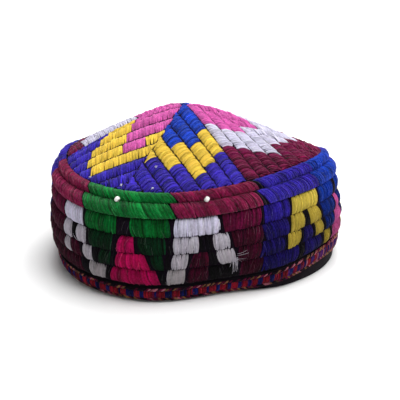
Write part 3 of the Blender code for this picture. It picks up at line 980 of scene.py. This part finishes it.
def rim_braid():
    """The woven rim braid: a dark tape, a middle course in red and blue blocks, and two edge courses."""
    low, high = BRAID_CLEARANCE, BRAID_CLEARANCE + BRAID_WIDTH
    heights = np.array([low, high, high, low])
    inner = wall_radius(heights) - WALL_CLOTH + BINDING_THICKNESS + RIM_GAP
    section = np.stack([inner + np.array([TAPE_THICKNESS, TAPE_THICKNESS, 0, 0]), heights], axis=-1)
    ring_piece("rim_braid_tape", section, binding_cloth, ["rim_braid"])

    count = round(2 * math.pi * RIM_RADIUS / BRAID_PITCH)
    place = (np.arange(count) * BRAID_PITCH + 0.0004 * rng.standard_normal(count)) % CHECK_LENGTH
    colours = np.where(place < RED_LENGTH, "red", "navy")
    right = hump(turns(count), BRAID_MIDDLE, HIGHLIGHT_AND_PURPLE_REACH)
    # On the braid's right side the purple is its own colour, and the paler rose is painted highlight.
    for dye, share in (("maroon", 0.08), ("rose", 0.2 * right), ("plum", 0.4 * right)):
        colours = np.where(rng.random(count) < share, dye, colours)
    braid_course("rim_braid_middle", low + 0.0014, high - 0.0020, 0.0012, BRAID_PITCH, 0.0004, colours.tolist())

    for name, foot, top, slant in (("rim_braid_lower_edge", low, low + 0.0018, -0.0020),
                                   ("rim_braid_upper_edge", high - 0.0022, high - 0.0004, 0.0022)):
        count = round(2 * math.pi * RIM_RADIUS / EDGE_PITCH)
        # Painted highlight: paler rose and gold yarn on the braid's right side.
        light = 0.10 + 0.40 * hump(turns(count), BRAID_MIDDLE, HIGHLIGHT_AND_PURPLE_REACH)
        colours = np.where(np.arange(count) % 3 == 0, "gold", "maroon")
        for dye, share in (("black", 0.45), ("rose", light), ("gold", light * 0.5)):
            colours = np.where(rng.random(count) < share, dye, colours)
        braid_course(name, foot, top, 0.0009, EDGE_PITCH, slant, colours.tolist())


# The beads

BEAD_REACH = 0.00092  # from the bead's middle to the middle of its section
BEAD_SECTION = (0.00060, 0.00110)  # half the section's height and length
BEAD_TURN = 35


def bead(name, node):
    """A sewn glass bead: a ring whose section is an ellipse, turned with its hole along the roll."""
    low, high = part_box(node)
    middle = np.array((low + high) / 2)
    turn, section_turn = turns(20)[:, None], turns(12)[None]
    reach = BEAD_REACH + BEAD_SECTION[0] * np.cos(section_turn)
    across = BEAD_SECTION[1] * np.sin(section_turn) + 0 * turn
    points = np.stack([across, reach * np.cos(turn), reach * np.sin(turn)], axis=-1)
    angle = math.atan2(middle[0] - CENTRE_SHIFT[0], -(middle[1] - CENTRE_SHIFT[1]))
    spin = np.array(Matrix.Rotation(angle, 3, "Z") @ Matrix.Rotation(math.radians(BEAD_TURN), 3, "Y"))
    faces = grid_faces(20, 12, wrap_rows=True, wrap_columns=True)[:, ::-1]
    new_piece(name, points @ spin.T + middle, faces.tolist(), white_glass, [node])


# The studio

FLOOR_REACH = 2.2  # where the floor starts to rise
FLOOR_BEND = 0.9
FLOOR_RISE = 1.6
LIGHTS = (  # name, place, what it is aimed at, side in metres, watts
    ("overhead", (0.30, 0.08, 1.08), (0, 0, 0.04), 1.0, 18.5),
    ("front", (0.55, -1.2, 0.6), (0, 0, 0.04), 0.9, 1.2),
    ("backdrop", (-0.7, 1.5, 1.9), (-1.0, 2.3, 0), 1.6, 70),
)
AIR_LIGHT = 0.1
VIEW_AZIMUTH = 24.18  # degrees to the right of the front panel's middle
VIEW_ELEVATION = 15
VIEW_ROLL = 0.67
VIEW_DISTANCE = 0.358
AIM_HEIGHT = 0.03255
LENS = 47.64  # millimetres, on a sensor 36 wide
LENS_SHIFT = (-0.002, -0.01375)


def pale_floor():
    """A round floor that rises far away, by a quarter turn of an ellipse."""
    quarter = np.linspace(0, 1, 24) * np.pi / 2
    reach = np.concatenate([[0.0], FLOOR_REACH + FLOOR_BEND * np.sin(quarter)])
    rise = np.concatenate([[0.0], FLOOR_RISE * (1 - np.cos(quarter))])
    turn = turns(64)[:, None]
    points = np.stack([reach * np.sin(turn), -reach * np.cos(turn), rise + 0 * turn], axis=-1)
    finish = Finish("pale_floor", 0.9)
    faint = finish.noise(finish.spot(), 2.0, 2.0)
    paint = finish.set(Base_Color=finish.blend(faint, (0.88, 0.88, 0.88, 1), (0.9, 0.9, 0.9, 1)))
    floor = solid("floor", points, grid_faces(64, 25, wrap_rows=True).tolist(), paint)


def lights():
    """Soft lights: a wide one overhead, a weak one in front, one on the backdrop, and a little from the air."""
    for name, place, aim, size, power in LIGHTS:
        light = bpy.data.lights.new(name, "AREA")
        light.size = size
        light.energy = power
        lamp = added(name, light)
        lamp.location = place
        lamp.rotation_euler = (Vector(aim) - Vector(place)).to_track_quat("-Z", "Y").to_euler()
    world = bpy.data.worlds.new("studio_air")
    world.use_nodes = True
    air = world.node_tree.nodes["Background"].inputs
    air["Color"].default_value = (1, 1, 1, 1)
    air["Strength"].default_value = AIR_LIGHT
    bpy.context.scene.world = world
    bpy.context.scene.view_settings.view_transform = "Standard"


def camera():
    """The photograph's view, seen from the front right and a little above."""
    azimuth, elevation = math.radians(VIEW_AZIMUTH), math.radians(VIEW_ELEVATION)
    aim = Vector((*CENTRE_SHIFT, AIM_HEIGHT))
    back = Vector((math.sin(azimuth) * math.cos(elevation), -math.cos(azimuth) * math.cos(elevation),
                   math.sin(elevation)))
    data = bpy.data.cameras.new("camera")
    data.lens = LENS
    data.sensor_width = 36
    data.shift_x, data.shift_y = LENS_SHIFT
    data.clip_start = 0.01
    eye = added("camera", data)
    turn = (-back).to_track_quat("-Z", "Y").to_matrix().to_4x4()
    turn = turn @ Matrix.Rotation(math.radians(VIEW_ROLL), 4, "Z")
    eye.matrix_world = Matrix.Translation(aim + back * VIEW_DISTANCE) @ turn
    bpy.context.scene.camera = eye


band_padding()
roll_padding()
crown_padding()
band_rows()
roll_ribs()
for panel, middle, ground in CROWN_PANELS:
    crown_stitching(panel, middle, ground)
peak_stitching()
loose_threads()
thread_knots()
rim_binding()
rim_braid()
bead("sewn_bead_left", "bead_left")
bead("sewn_bead_right", "bead_right")
pale_floor()
lights()
camera()
